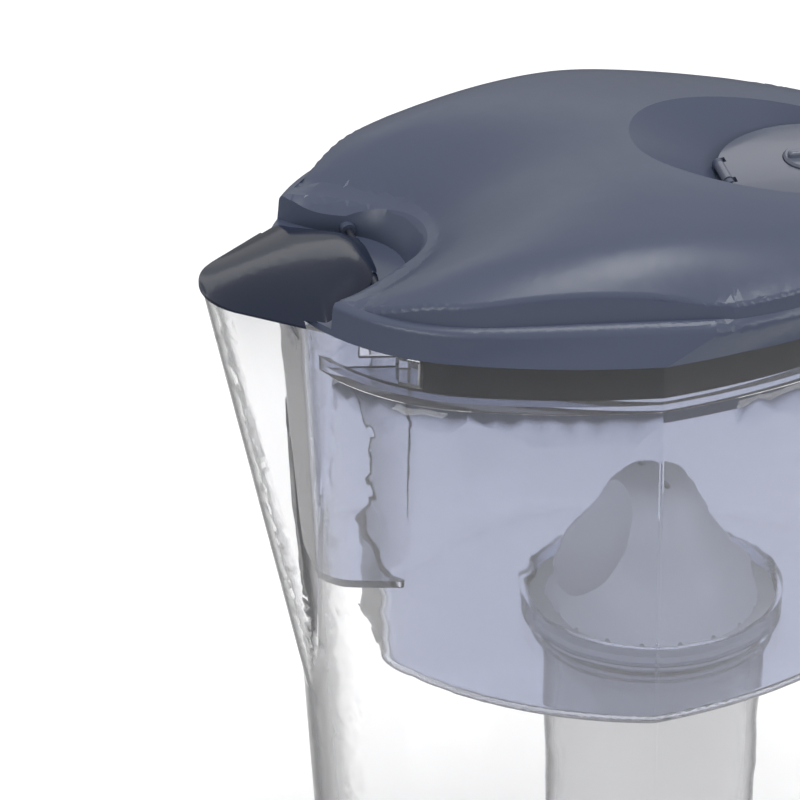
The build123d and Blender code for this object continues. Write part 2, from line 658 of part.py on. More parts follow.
def build_lid():
    outside = lid_block(0.0, 0.0)
    hollow = lid_block(LID_RIM_WALL, LID_WALL)
    hollow -= notch_solid(LID_WALL, lid_low_z())
    hollow -= basin_solid(LID_WALL)
    lid = outside - notch_solid(0.0, SHELF_Z) - basin_solid(0.0)
    lid -= hollow
    pin_x, pin_z = fill_pin_at()
    for side in (-1, 1):
        y = side * (SPOUT_BOSS_HALF + SPOUT_BOSS_LENGTH / 2)
        lid += rod(SPOUT_PIN_X, SPOUT_PIN_Z, SPOUT_BOSS_RADIUS, SPOUT_BOSS_LENGTH / 2, y)
        ear = Box(2 * KNUCKLE_RADIUS, EAR_LENGTH, pin_z - BASIN_Z, align=(Align.CENTER, Align.CENTER, Align.MAX))
        lid += Pos(pin_x, side * ear_y(), pin_z) * ear
        lid += rod(pin_x, pin_z, KNUCKLE_RADIUS, EAR_LENGTH / 2, side * ear_y())
    lid -= rod(SPOUT_PIN_X, SPOUT_PIN_Z, SPOUT_PIN_RADIUS + PIN_CLEARANCE, spout_pin_end() + PIN_END_GAP)
    lid -= rod(pin_x, pin_z, FILL_PIN_RADIUS, ear_y() + EAR_LENGTH)
    fill_hole = Pos(BASIN_X, 0, BASIN_Z) * extrude(Ellipse(HOLE_LONG, HOLE_WIDE), 2 * LID_WALL, both=True)
    mouth = Pos(-LID_FRONT, 0, SHELF_Z) * Box(2 * (LID_FRONT - POUR_FRONT), 2 * beak_flank(POUR_FRONT, JUG_WALL), 20)
    return lid - fill_hole - mouth


def spout_pin_end():
    return SPOUT_BOSS_HALF + SPOUT_BOSS_LENGTH - PIN_END_GAP - LID_WALL / 2


def build_frame():
    # The ring under the lid that closes the gap to the funnel. It is open behind the beak.
    gap = JUG_WALL + FRAME_GAP
    frame = between(jug_outline(FRAME_LOW_Z, gap), jug_outline(FRAME_TOP_Z, gap))
    frame -= between(jug_outline(FRAME_LOW_Z, gap + FRAME_WALL), jug_outline(FRAME_TOP_Z, gap + FRAME_WALL))
    front = Pos(-FRAME_FRONT - 50, 0, FRAME_LOW_Z) * Box(100, 200, 60)
    return frame - front


def build_catches():
    # A small clear hook on each front end of the frame.
    gap = JUG_WALL + FRAME_GAP
    z = FRAME_LOW_Z + 0.5
    band = between(jug_outline(z, gap), jug_outline(z + CATCH_HEIGHT, gap))
    inner = between(jug_outline(z, gap + CATCH_DEPTH), jug_outline(z + CATCH_HEIGHT, gap + CATCH_DEPTH))
    window = Pos(-FRAME_FRONT - CATCH_LENGTH / 2, 0, z) * Box(CATCH_LENGTH, 200, 60)
    return (band - inner) & window


# Spout flap

def flap_wire(z, inset=0.0):
    lean = radians(BEAK_FLANK_DEG)
    radius = BEAK_RADIUS + FLAP_OVERHANG - inset
    centre_x = BEAK_TIP - BEAK_RADIUS
    touch = Vector(-centre_x - radius * sin(lean), radius * cos(lean))
    side = Vector(-FLAP_WIDE_X, beak_flank(FLAP_WIDE_X, inset - FLAP_OVERHANG))
    neck = Vector(-FLAP_NECK, FLAP_NECK_HALF - inset)
    rear = Vector(-FLAP_REAR - inset, 0)
    at = lambda p, sign: (p.X, sign * p.Y)
    lines = Curve() + [
        ThreePointArc(at(touch, 1), (-centre_x - radius, 0), at(touch, -1)),
        Line(at(touch, -1), at(side, -1)),
        Line(at(side, -1), at(neck, -1)),
        ThreePointArc(at(neck, -1), at(rear, 1), at(neck, 1)),
        Line(at(neck, 1), at(side, 1)),
        Line(at(side, 1), at(touch, 1)),
    ]
    face = make_face(lines)
    face = fillet([v for v in face.vertices() if abs(v.X + FLAP_WIDE_X) < 0.01], FLAP_SIDE_CORNER)
    face = fillet([v for v in face.vertices() if abs(v.X + FLAP_NECK) < 0.01], FLAP_REAR_CORNER - inset)
    return Pos(0, 0, z) * face.face().outer_wire()


def flap_half(ahead):
    # Half width of the flap's rim at a distance ahead of the axis.
    widest = beak_flank(FLAP_WIDE_X, -FLAP_OVERHANG)
    if ahead > FLAP_WIDE_X:
        return beak_flank(ahead, -FLAP_OVERHANG)
    return share(ahead, FLAP_NECK, FLAP_WIDE_X, FLAP_NECK_HALF, widest)


def flap_height(x, y):
    # A crest that falls to a thin tip ahead, a short round end behind and thin sides.
    if x < FLAP_CREST_X:
        reach = BEAK_TIP + FLAP_OVERHANG + FLAP_CREST_X
        rise = 1 - ((FLAP_CREST_X - x) / reach) ** FLAP_FRONT_POWER
    else:
        rise = 1 - ((x - FLAP_CREST_X) / FLAP_REAR_REACH) ** FLAP_REAR_POWER
    aside = abs(y) / flap_half(-x)
    across = 1 - aside ** FLAP_SIDE_POWER if aside < 1 else FLAP_SIDE_POWER * (1 - aside)
    return RIM_Z + FLAP_GAP + FLAP_LIP + FLAP_RISE * rise * across


def build_spout_flap():
    low = RIM_Z + FLAP_GAP
    cover = lambda drop: roof(flap_height, -BEAK_TIP - 2, -FLAP_REAR + 1, flap_half(FLAP_WIDE_X) + 1, drop)
    outside = prism(flap_wire(low), 3 * FLAP_RISE) & cover(0.0)
    flap = outside - (prism(flap_wire(low, FLAP_WALL), 3 * FLAP_RISE) & cover(FLAP_WALL))
    for side in (-1, 1):
        y = side * (SPOUT_LUG_HALF + SPOUT_LUG_LENGTH / 2)
        flap += rod(SPOUT_PIN_X, SPOUT_PIN_Z, SPOUT_LUG_RADIUS, SPOUT_LUG_LENGTH / 2, y)
    # Behind the pins the underside is rounded, so the flap can tip up without touching the floor.
    heel = Box(40, 80, 40, align=(Align.MIN, Align.CENTER, Align.MAX))
    heel = Pos(SPOUT_PIN_X, 0, SPOUT_PIN_Z + FLAP_HEEL) * heel
    heel -= rod(SPOUT_PIN_X, SPOUT_PIN_Z, SPOUT_PIN_Z - SHELF_Z - FLAP_GAP, 40)
    flap -= heel
    over_floor = Box(60, 100, 10, align=(Align.MIN, Align.CENTER, Align.MAX))
    flap -= Pos(-POUR_FRONT - FLAP_GAP, 0, SHELF_Z + FLAP_GAP) * over_floor
    return flap - build_spout_pins()


def build_spout_pins():
    pins = [rod(SPOUT_PIN_X, SPOUT_PIN_Z, SPOUT_PIN_RADIUS, SPOUT_PIN_LENGTH / 2,
                side * (spout_pin_end() - SPOUT_PIN_LENGTH / 2)) for side in (-1, 1)]
    return Compound(children=pins)


# Fill flap and dial

def fill_flap_low():
    return BASIN_Z + FILL_FLAP_LIFT


def build_fill_flap():
    long, wide = BASIN_LONG - FILL_FLAP_GAP, BASIN_WIDE - FILL_FLAP_GAP
    low = fill_flap_low()
    top = low + FILL_FLAP_THICK
    crown = lambda x, y: top + FILL_FLAP_CROWN * (1 - ((x - BASIN_X) / long) ** 2 - (y / wide) ** 2)
    flap = Pos(BASIN_X, 0, low) * extrude(Ellipse(long, wide), 2 * FILL_FLAP_THICK)
    flap &= roof(crown, BASIN_X - long - 1, BASIN_X + long + 1, wide + 1, 0.0, 7, 7)
    pin_x, pin_z = fill_pin_at()
    for side in (-1, 1):
        slot = Box(2 * (KNUCKLE_RADIUS + EAR_GAP), EAR_LENGTH + 2 * EAR_GAP, 20)
        flap -= Pos(pin_x, side * ear_y(), pin_z) * slot
    nose = Box(2 * FILL_PIN_SETBACK, 2 * KNUCKLE_HALF, 20, align=(Align.MAX, Align.CENTER, Align.CENTER))
    flap -= Pos(pin_x, 0, pin_z) * nose
    flap += rod(pin_x, pin_z, KNUCKLE_RADIUS, KNUCKLE_HALF)
    flap -= rod(pin_x, pin_z, FILL_PIN_RADIUS + PIN_CLEARANCE, 2 * KNUCKLE_HALF)
    seat_z = low + FILL_FLAP_THICK
    flap -= Pos(DIAL_X, 0, seat_z) * extrude(Circle(DIAL_RADIUS + DIAL_GAP), 20)
    flap -= Pos(DIAL_X, 0, seat_z) * Cylinder(DIAL_STEM + PIN_CLEARANCE, 20)
    return flap


def build_fill_pin():
    pin_x, pin_z = fill_pin_at()
    return rod(pin_x, pin_z, FILL_PIN_RADIUS, ear_y() + EAR_LENGTH / 2)


def build_dial():
    seat_z = fill_flap_low() + FILL_FLAP_THICK + PIN_CLEARANCE
    knob = extrude(Circle(DIAL_RADIUS), DIAL_HEIGHT)
    knob = chamfer(knob.edges().group_by(Axis.Z)[-1], 0.6)
    grip = extrude(SlotOverall(2 * DIAL_RADIUS - 2, DIAL_GRIP_WIDTH), DIAL_HEIGHT + DIAL_GRIP_HEIGHT)
    grip = fillet(grip.edges().group_by(Axis.Z)[-1], DIAL_GRIP_WIDTH / 3)
    stem_length = FILL_FLAP_THICK + 2 * PIN_CLEARANCE + CLIP_THICK
    stem = Pos(0, 0, -stem_length) * extrude(Circle(DIAL_STEM), stem_length + DIAL_HEIGHT / 2)
    return Pos(DIAL_X, 0, seat_z) * (knob + grip + stem)


def build_dial_clip():
    z = fill_flap_low() - PIN_CLEARANCE - CLIP_THICK
    return Pos(DIAL_X, 0, z) * extrude(Circle(CLIP_RADIUS) - Circle(DIAL_STEM), CLIP_THICK)


# Filling of the cartridge

def stack():
    # Heights of the layers in the cup, from its floor up.
    lower_mesh = CUP_BOTTOM_Z + CUP_WALL
    pad = lower_mesh + MESH_THICK
    media = pad + PAD_THICK
    return lower_mesh, pad, media, MEDIA_TOP_Z


def build_media():
    lower_mesh, pad, media, top = stack()
    rows = [(0, media), (cup_inside(media) - MESH_GAP, media), (cup_inside(top) - MESH_GAP, top), (0, top)]
    return revolve(make_face(Plane.XZ * Polyline(*rows, close=True)), Axis.Z)


def main():
    os.makedirs("parts", exist_ok=True)
    lower_mesh, pad, media, media_top = stack()
    keep("jug_body", build_jug())
    keep("handle_grip", grip_solid())
    keep("funnel", build_funnel())
    keep("seal_ring", build_seal())
    keep("cartridge_cup", build_cup())
    keep("cartridge_cap", build_cap())
    keep("upper_mesh", mesh_disc(media_top, MESH_THICK))
    keep("filter_granules", build_media())
    keep("felt_pad", disc(pad, PAD_THICK))
    keep("lower_mesh", mesh_disc(lower_mesh, MESH_THICK))
    keep("lid_shell", build_lid())
    keep("lid_frame", build_frame())
    keep("lid_catches", build_catches())
    keep("spout_flap", build_spout_flap())
    keep("spout_flap_pins", build_spout_pins())
    keep("fill_flap", build_fill_flap())
    keep("fill_flap_pin", build_fill_pin())
    keep("dial", build_dial())
    keep("dial_clip", build_dial_clip())


if __name__ == "__main__":
    main()
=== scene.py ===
"""Water filter pitcher: finishes, small pieces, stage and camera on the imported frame."""
import json
from functools import partial
from math import cos, exp, pi, radians, sin, tan

import bmesh
import bpy
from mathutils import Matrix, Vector
from mathutils.kdtree import KDTree

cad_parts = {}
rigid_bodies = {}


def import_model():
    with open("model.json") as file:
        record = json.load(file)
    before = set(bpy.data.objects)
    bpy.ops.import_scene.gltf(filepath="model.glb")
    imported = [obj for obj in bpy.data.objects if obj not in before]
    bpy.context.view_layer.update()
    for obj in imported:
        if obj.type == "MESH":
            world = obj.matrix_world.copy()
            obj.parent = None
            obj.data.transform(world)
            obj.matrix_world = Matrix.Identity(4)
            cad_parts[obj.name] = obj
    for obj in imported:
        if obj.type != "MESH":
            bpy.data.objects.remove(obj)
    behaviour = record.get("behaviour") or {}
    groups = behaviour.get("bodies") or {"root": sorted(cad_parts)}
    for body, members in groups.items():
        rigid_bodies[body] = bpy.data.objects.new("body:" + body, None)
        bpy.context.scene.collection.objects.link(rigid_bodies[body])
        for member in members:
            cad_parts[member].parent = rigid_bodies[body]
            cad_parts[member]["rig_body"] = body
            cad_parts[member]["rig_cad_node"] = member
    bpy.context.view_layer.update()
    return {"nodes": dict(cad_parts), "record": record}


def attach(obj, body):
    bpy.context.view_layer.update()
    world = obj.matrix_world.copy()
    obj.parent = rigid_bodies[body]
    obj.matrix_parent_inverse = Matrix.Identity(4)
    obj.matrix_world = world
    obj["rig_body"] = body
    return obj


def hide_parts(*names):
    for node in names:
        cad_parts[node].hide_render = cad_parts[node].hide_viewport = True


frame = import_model()

bl_info = {
    "name": "Water filter pitcher",
    "version": (1, 0, 0),
    "blender": (4, 5, 0),
    "location": "View3D > Sidebar > Pitcher",
    "description": "Finishes a clear water filter pitcher with a domed lid and sets its stage",
    "category": "Add Mesh",
}

MM = 0.001
CREASE_X = (-20 * MM, 7 * MM)     # the upright edge in each side lies between these
CREASE_HALF = 55 * MM
CREASE_ANGLE = radians(8)
NOTCH_X = -68 * MM                # the lid's notch lies ahead of this
NOTCH_HALF = 46 * MM
NOTCH_Z = 250 * MM
NOTCH_ANGLE = radians(9)

# The lid's dip towards the spout flap, in millimetres: as the frame has it and as it is finished.
DIP_X = -105.0
FRAME_DIP = (35.0, 40.0, 28.0)    # depth, length, width
SOFT_DIP = (24.4, 60.0, 38.7)
SHOULDER = (2.6, -20.0, 35.0, 62.0, 16.0)   # rise, its x, its length, its y, its width
DIP_LOW_Z = 256.0                 # below this nothing moves, and 8 mm higher all of it
DIP_RAMP = 8.0
EDGE_DROP = 4.0                   # the dome's edge rolls down towards the band
EDGE_REACH = 18.0                 # and does so over this distance inside the rim
EDGE_LOW_Z = 258.3                # top of the band, which stays as it is
EDGE_RAMP = 5.7
RIM_Z = 246.75                    # underside of the lid's band
RIM_NEAR = 0.05                   # an edge this close to RIM_Z is part of the rim
RIM_STEP = 2.0
LONGEST_EDGE = 4 * MM             # edges of a reshaped piece are split until they are this short
SPLIT_ROUNDS = 4

# The spout flap's crown, in millimetres
CROWN_X = -101.0
CROWN_REACH = 37.9
CROWN_BASE_Z = 247.6
CROWN_SHARE = 0.95
FRAME_CROWN_POWER, FINE_CROWN_POWER = 2.3, 1.7
FRAME_SIDE_POWER, FINE_SIDE_POWER = 3, 2
CROWN_START = CROWN_X + 6         # behind this the flap stays as it is
CROWN_EASE = 15.0
TIP_LIMIT, SIDE_LIMIT = 0.97, 0.98    # nearer to the tip and the sides the share stays the same
BEAK_CENTRE, BEAK_RADIUS, BEAK_LEAN = 118.0, 20.9, radians(39)
FLAP_WIDE, FLAP_NECK, FLAP_NECK_HALF = 108.5, 88.5, 17.0

# Clear plastic
PLASTIC_IOR = 1.49
EDGE_SHADE_FACING = (0.45, 0.85)        # how far a wall turns away while painted shade darkens it
WELL_TOP = 118.5 * MM             # the funnel is paler below this

# Light
GLOW_NEAR, GLOW_FAR = 0.42, 0.95  # what the floor adds to its own light where it is seen
SKY_LIGHT, SKY_SEEN = 0.45, 1.0
LAMP_TARGET = (0.0, 0.0, 0.2)
LAMPS = (                         # name, place, size, power
    ("overhead", (0.2, -0.3, 2.3), (1.4, 0.9), 22.0),
    ("fill_right", (1.6, -1.5, 0.8), (0.9, 0.8), 9.0),
    ("fill_left", (-1.7, -1.3, 0.7), (1.0, 0.8), 10.0),
    ("back", (0.3, 2.1, 1.4), (1.8, 0.6), 2.5),
)
SENSOR_WIDTH = 36.0
CLIP_END = 50.0


class PitcherColours(bpy.types.PropertyGroup):
    """Colours of the plastics and rubber, and of the painted shade on the clear walls' edges"""
    clear: bpy.props.FloatVectorProperty(
        name="Clear plastic", description="Tint of the jug's clear wall", subtype="COLOR",
        size=3, default=(0.97, 0.97, 0.975), min=0.0, max=1.0)
    tinted: bpy.props.FloatVectorProperty(
        name="Funnel", description="Tint of the funnel's clear plastic", subtype="COLOR",
        size=3, default=(0.59, 0.615, 0.715), min=0.0, max=1.0)
    well: bpy.props.FloatVectorProperty(
        name="Well", description="Tint of the funnel's well, paler than the bowl", subtype="COLOR",
        size=3, default=(0.92, 0.92, 0.93), min=0.0, max=1.0)
    lid: bpy.props.FloatVectorProperty(
        name="Lid", description="Slate blue of the lid's shell", subtype="COLOR",
        size=3, default=(0.080, 0.097, 0.152), min=0.0, max=1.0)
    flap: bpy.props.FloatVectorProperty(
        name="Spout flap", description="Navy of the spout flap", subtype="COLOR",
        size=3, default=(0.008, 0.014, 0.036), min=0.0, max=1.0)
    fill_flap: bpy.props.FloatVectorProperty(
        name="Fill flap", description="Grey blue of the fill flap and its dial", subtype="COLOR",
        size=3, default=(0.135, 0.150, 0.200), min=0.0, max=1.0)
    frame: bpy.props.FloatVectorProperty(
        name="Inner frame", description="Dark plastic of the ring under the lid", subtype="COLOR",
        size=3, default=(0.010, 0.012, 0.018), min=0.0, max=1.0)
    cap: bpy.props.FloatVectorProperty(
        name="Cartridge cap", description="Grey of the cartridge's cap", subtype="COLOR",
        size=3, default=(0.66, 0.68, 0.73), min=0.0, max=1.0)
    cup: bpy.props.FloatVectorProperty(
        name="Cartridge cup", description="Pale grey of the cartridge's cup", subtype="COLOR",
        size=3, default=(0.82, 0.82, 0.83), min=0.0, max=1.0)
    # Painted shade: the clear walls take this dark colour where they are seen edge on, in place of the
    # dark surroundings seen in them
    edge: bpy.props.FloatVectorProperty(
        name="Clear edges", description="Dark tint where a clear wall is seen edge on", subtype="COLOR",
        size=3, default=(0.02, 0.02, 0.03), min=0.0, max=1.0)
    grip: bpy.props.FloatVectorProperty(
        name="Grip", description="Soft inlay of the handle", subtype="COLOR",
        size=3, default=(0.035, 0.042, 0.080), min=0.0, max=1.0)
    seal: bpy.props.FloatVectorProperty(
        name="Seal ring", description="Grey of the ring under the cartridge", subtype="COLOR",
        size=3, default=(0.45, 0.46, 0.48), min=0.0, max=1.0)
    sieve: bpy.props.FloatVectorProperty(
        name="Meshes", description="White of the cartridge's two meshes", subtype="COLOR",
        size=3, default=(0.75, 0.75, 0.75), min=0.0, max=1.0)
    carbon: bpy.props.FloatVectorProperty(
        name="Carbon grains", description="Black of the carbon in the filling", subtype="COLOR",
        size=3, default=(0.02, 0.02, 0.02), min=0.0, max=1.0)
    resin: bpy.props.FloatVectorProperty(
        name="Resin grains", description="Brown of the resin in the filling", subtype="COLOR",
        size=3, default=(0.35, 0.22, 0.08), min=0.0, max=1.0)
    felt: bpy.props.FloatVectorProperty(
        name="Felt", description="Off-white of the felt pad", subtype="COLOR",
        size=3, default=(0.75, 0.73, 0.68), min=0.0, max=1.0)
    catch: bpy.props.FloatVectorProperty(
        name="Catches", description="Tint of the clear catches under the lid", subtype="COLOR",
        size=3, default=(0.85, 0.87, 0.9), min=0.0, max=1.0)
    pin: bpy.props.FloatVectorProperty(
        name="Pins and clip", description="Dark plastic of the pins and the dial's clip", subtype="COLOR",
        size=3, default=(0.03, 0.035, 0.05), min=0.0, max=1.0)


class PitcherSizes(bpy.types.PropertyGroup):
    """Sizes of what is added to the frame, and the camera"""
    smooth_angle: bpy.props.FloatProperty(
        name="Smooth angle", description="Edges flatter than this are shaded smooth",
        subtype="ANGLE", default=radians(28))
    merge_gap: bpy.props.FloatProperty(
        name="Merge gap", description="Points nearer than this become one",
        unit="LENGTH", default=0.000004, precision=6)
    camera_azimuth: bpy.props.FloatProperty(
        name="Camera azimuth", description="Turn of the camera about the upright axis",
        subtype="ANGLE", default=radians(-13.5))
    camera_elevation: bpy.props.FloatProperty(
        name="Camera elevation", description="Height of the camera as an angle",
        subtype="ANGLE", default=radians(29))
    camera_place: bpy.props.FloatVectorProperty(
        name="Camera place", description="Where the camera stands", subtype="TRANSLATION",
        size=3, default=(-0.68043, -2.50771, 1.63190))
    lens: bpy.props.FloatProperty(
        name="Lens", description="Focal length in millimetres", default=445.5)
    floor_span: bpy.props.FloatProperty(
        name="Floor", description="Length of the floor's sides", unit="LENGTH", default=12.0)
    bright_radius: bpy.props.FloatProperty(
        name="Bright floor", description="Radius of the floor that shows white through the clear walls",
        unit="LENGTH", default=0.36)
    grey_radius: bpy.props.FloatProperty(
        name="Grey floor", description="Radius from which the floor shows grey through the clear walls",
        unit="LENGTH", default=0.56)


# Materials

class Finish:
    """One material: its nodes, its links and its Principled shader."""

    def __init__(self, name, colour, roughness):
        self.material = bpy.data.materials.new(name)
        self.material.use_nodes = True
        self.nodes = self.material.node_tree.nodes
        self.links = self.material.node_tree.links
        self.shader = self.nodes["Principled BSDF"]
        self.set("Base Color", (*colour, 1.0))
        self.set("Roughness", roughness)

    def set(self, socket, value):
        self.shader.inputs[socket].default_value = value

    def add(self, kind, **values):
        node = self.nodes.new(kind)
        for key, value in values.items():
            if key in node.inputs:
                node.inputs[key].default_value = value
            else:
                setattr(node, key, value)
        return node

    def noise(self, scale, detail=2.0):
        coordinates = self.add("ShaderNodeTexCoord")
        noise = self.add("ShaderNodeTexNoise", Scale=scale, Detail=detail)
        self.links.new(coordinates.outputs["Object"], noise.inputs["Vector"])
        return noise.outputs["Fac"]

    def spread(self, factor, low, high):
        node = self.add("ShaderNodeMapRange")
        node.inputs["To Min"].default_value = low
        node.inputs["To Max"].default_value = high
        self.links.new(factor, node.inputs["Value"])
        return node.outputs["Result"]

    def combine(self, operation, first, second):
        node = self.add("ShaderNodeMath", operation=operation)
        self.links.new(first, node.inputs[0])
        self.links.new(second, node.inputs[1])
        return node.outputs[0]

    def times(self, first, second):
        return self.combine("MULTIPLY", first, second)

    def highest(self, first, second):
        return self.combine("MAXIMUM", first, second)

    def rough(self, scale, low, high):
        self.links.new(self.spread(self.noise(scale), low, high), self.shader.inputs["Roughness"])

    def bump(self, scale, height, strength, detail=2.0):
        node = self.add("ShaderNodeBump")
        node.inputs["Strength"].default_value = strength
        node.inputs["Distance"].default_value = height
        self.links.new(self.noise(scale, detail), node.inputs["Height"])
        self.links.new(node.outputs["Normal"], self.shader.inputs["Normal"])

    def mottle(self, colour, scale, low, high):
        mix = self.add("ShaderNodeMix", data_type="RGBA")
        mix.inputs[6].default_value = (*[c * low for c in colour], 1.0)
        mix.inputs[7].default_value = (*[min(1.0, c * high) for c in colour], 1.0)
        self.links.new(self.noise(scale, 4.0), mix.inputs[0])
        self.links.new(mix.outputs[2], self.shader.inputs["Base Color"])


def clear_finish(name, colour, edge, well_colour=None):
    """Clear plastic with painted shade where it is seen edge on: there it takes the edge colour, lets
    less light through and reflects less. Below WELL_TOP it may be paler.
    """
    finish = Finish(name, colour, 0.03)
    finish.set("Transmission Weight", 1.0)
    finish.set("IOR", PLASTIC_IOR)
    finish.rough(35.0, 0.015, 0.05)
    # painted shade: the more a wall turns away from the view, the more it takes the dark edge colour
    facing = finish.add("ShaderNodeLayerWeight", Blend=0.5).outputs["Facing"]
    shade = finish.add("ShaderNodeMapRange", interpolation_type="SMOOTHSTEP")
    shade.inputs["From Min"].default_value = EDGE_SHADE_FACING[0]
    shade.inputs["From Max"].default_value = EDGE_SHADE_FACING[1]
    finish.links.new(facing, shade.inputs["Value"])
    mix = finish.add("ShaderNodeMix", data_type="RGBA")
    mix.inputs[6].default_value = (*colour, 1.0)
    mix.inputs[7].default_value = (*edge, 1.0)
    finish.links.new(shade.outputs["Result"], mix.inputs[0])
    if well_colour:
        height = finish.add("ShaderNodeSeparateXYZ")
        finish.links.new(finish.add("ShaderNodeTexCoord").outputs["Object"], height.inputs["Vector"])
        above = finish.add("ShaderNodeMapRange")
        above.inputs["From Min"].default_value = WELL_TOP - MM
        above.inputs["From Max"].default_value = WELL_TOP + MM
        finish.links.new(height.outputs["Z"], above.inputs["Value"])
        plastic = finish.add("ShaderNodeMix", data_type="RGBA")
        plastic.inputs[6].default_value = (*well_colour, 1.0)
        plastic.inputs[7].default_value = (*colour, 1.0)
        finish.links.new(above.outputs["Result"], plastic.inputs[0])
        finish.links.new(plastic.outputs[2], mix.inputs[6])
    finish.links.new(mix.outputs[2], finish.shader.inputs["Base Color"])
    # the painted shade also cuts the light let through and the gloss where a wall is seen edge on
    through = finish.spread(shade.outputs["Result"], 1.0, 0.0)
    finish.links.new(through, finish.shader.inputs["Transmission Weight"])
    gloss = finish.spread(shade.outputs["Result"], 0.5, 0.05)
    finish.links.new(gloss, finish.shader.inputs["Specular IOR Level"])
    return finish.material


def satin_finish(name, colour, rough_low, rough_high, gloss=0.5, grain=1400.0, grain_height=0.00003):
    finish = Finish(name, colour, rough_low)
    finish.set("Specular IOR Level", gloss)
    finish.mottle(colour, 22.0, 0.97, 1.03)
    finish.rough(180.0, rough_low, rough_high)
    finish.bump(grain, grain_height, 0.06)
    return finish.material


def gloss_finish(name, colour, roughness=0.16):
    finish = Finish(name, colour, roughness)
    finish.mottle(colour, 18.0, 0.96, 1.04)
    finish.rough(90.0, roughness * 0.8, roughness * 1.2)
    finish.bump(60.0, 0.00008, 0.06)
    finish.set("Coat Weight", 0.25)
    finish.set("Coat Roughness", 0.08)
    return finish.material


def rubber_finish(name, colour):
    finish = Finish(name, colour, 0.7)
    finish.mottle(colour, 60.0, 0.85, 1.15)
    finish.rough(400.0, 0.6, 0.8)
    finish.bump(2600.0, 0.00006, 0.4)
    return finish.material


def grain_finish(name, colour, second):
    finish = Finish(name, colour, 0.6)
    cells = finish.add("ShaderNodeTexVoronoi", Scale=900.0)
    coordinates = finish.add("ShaderNodeTexCoord")
    finish.links.new(coordinates.outputs["Object"], cells.inputs["Vector"])
    ramp = finish.add("ShaderNodeValToRGB")
    ramp.color_ramp.elements[0].color = (*colour, 1.0)
    ramp.color_ramp.elements[1].color = (*second, 1.0)
    ramp.color_ramp.elements[1].position = 0.9
    finish.links.new(cells.outputs["Color"], ramp.inputs["Fac"])
    finish.links.new(ramp.outputs["Color"], finish.shader.inputs["Base Color"])
    finish.bump(900.0, 0.0004, 0.8)
    return finish.material


def felt_finish(name, colour):
    finish = Finish(name, colour, 0.95)
    finish.mottle(colour, 700.0, 0.8, 1.1)
    finish.bump(1800.0, 0.0003, 0.7, 6.0)
    finish.set("Sheen Weight", 0.3)
    return finish.material


# Pieces

def deselect():
    if bpy.context.object and bpy.context.object.mode != "OBJECT":
        bpy.ops.object.mode_set(mode="OBJECT")
    bpy.ops.object.select_all(action="DESELECT")


def body_of(node):
    for body, members in frame["record"]["behaviour"]["bodies"].items():
        if node in members:
            return body
    raise RuntimeError(f"{node} is in no body")


def near_crease(place):
    return CREASE_X[0] < place.x < CREASE_X[1] and abs(place.y) > CREASE_HALF


def near_notch(place):
    return place.x < NOTCH_X and abs(place.y) < NOTCH_HALF and place.z > NOTCH_Z


def crisp_edges(piece, test, angle):
    """Edges where test holds stay sharp from a smaller angle on."""
    shape = bmesh.new()
    shape.from_mesh(piece.data)
    for edge in shape.edges:
        middle = (edge.verts[0].co + edge.verts[1].co) / 2
        if test(middle) and edge.is_manifold and edge.calc_face_angle() > angle:
            edge.smooth = False
    shape.to_mesh(piece.data)
    shape.free()


def split_long_edges(piece):
    """Shorter edges let moved points bend a piece's faces evenly."""
    shape = bmesh.new()
    shape.from_mesh(piece.data)
    for _ in range(SPLIT_ROUNDS):
        long_edges = [edge for edge in shape.edges if edge.calc_length() > LONGEST_EDGE]
        bmesh.ops.subdivide_edges(shape, edges=long_edges, cuts=1)
        bmesh.ops.triangulate(shape, faces=[face for face in shape.faces if len(face.verts) > 3])
    shape.to_mesh(piece.data)
    shape.free()


def smooth_piece(node, material, sizes, clear=False, reshape=None):
    """A merged copy of a CAD node, shaded smooth. A clear piece lets the lamps through."""
    deselect()
    source = frame["nodes"][node]
    piece = source.copy()
    piece.data = source.data.copy()
    piece.name = f"{node}_skin"
    piece.parent = None
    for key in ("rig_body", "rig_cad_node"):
        if key in piece:
            del piece[key]
    bpy.context.scene.collection.objects.link(piece)
    bpy.context.view_layer.objects.active = piece
    piece.select_set(True)
    if piece.data.has_custom_normals:
        bpy.ops.mesh.customdata_custom_splitnormals_clear()
    bpy.ops.object.mode_set(mode="EDIT")
    bpy.ops.mesh.select_all(action="SELECT")
    bpy.ops.mesh.remove_doubles(threshold=sizes.merge_gap)
    bpy.ops.object.mode_set(mode="OBJECT")
    if reshape:
        split_long_edges(piece)
        for vertex in piece.data.vertices:
            vertex.co.z += reshape(*(vertex.co / MM)) * MM
    bpy.ops.object.shade_smooth_by_angle(angle=sizes.smooth_angle)
    crisp_edges(piece, near_crease, CREASE_ANGLE)
    if node == "lid_shell":
        crisp_edges(piece, near_notch, NOTCH_ANGLE)
    bpy.ops.object.modifier_add(type="WEIGHTED_NORMAL")
    piece.modifiers[-1].keep_sharp = True
    bpy.ops.object.modifier_apply(modifier=piece.modifiers[-1].name)
    piece.data.materials.clear()
    piece.data.materials.append(material)
    piece.visible_shadow = not clear
    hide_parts(node)
    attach(piece, body_of(node))
    return piece


def dip(x, y, depth, length, width):
    return depth * exp(-((x - DIP_X) / length) ** 2 - (y / width) ** 2)


def rim_tree():
    """The lid's outer rim, as points in its plan, to find how far inside it a point lies."""
    mesh = frame["nodes"]["lid_shell"].data
    points = []
    for edge in mesh.edges:
        ends = [mesh.vertices[i].co / MM for i in edge.vertices]
        if all(abs(end.z - RIM_Z) < RIM_NEAR for end in ends):
            steps = max(1, int((ends[1] - ends[0]).length / RIM_STEP))
            points += [ends[0].lerp(ends[1], i / steps) for i in range(steps + 1)]
    tree = KDTree(len(points))
    for index, point in enumerate(points):
        tree.insert((point.x, point.y, 0.0), index)
    tree.balance()
    return tree


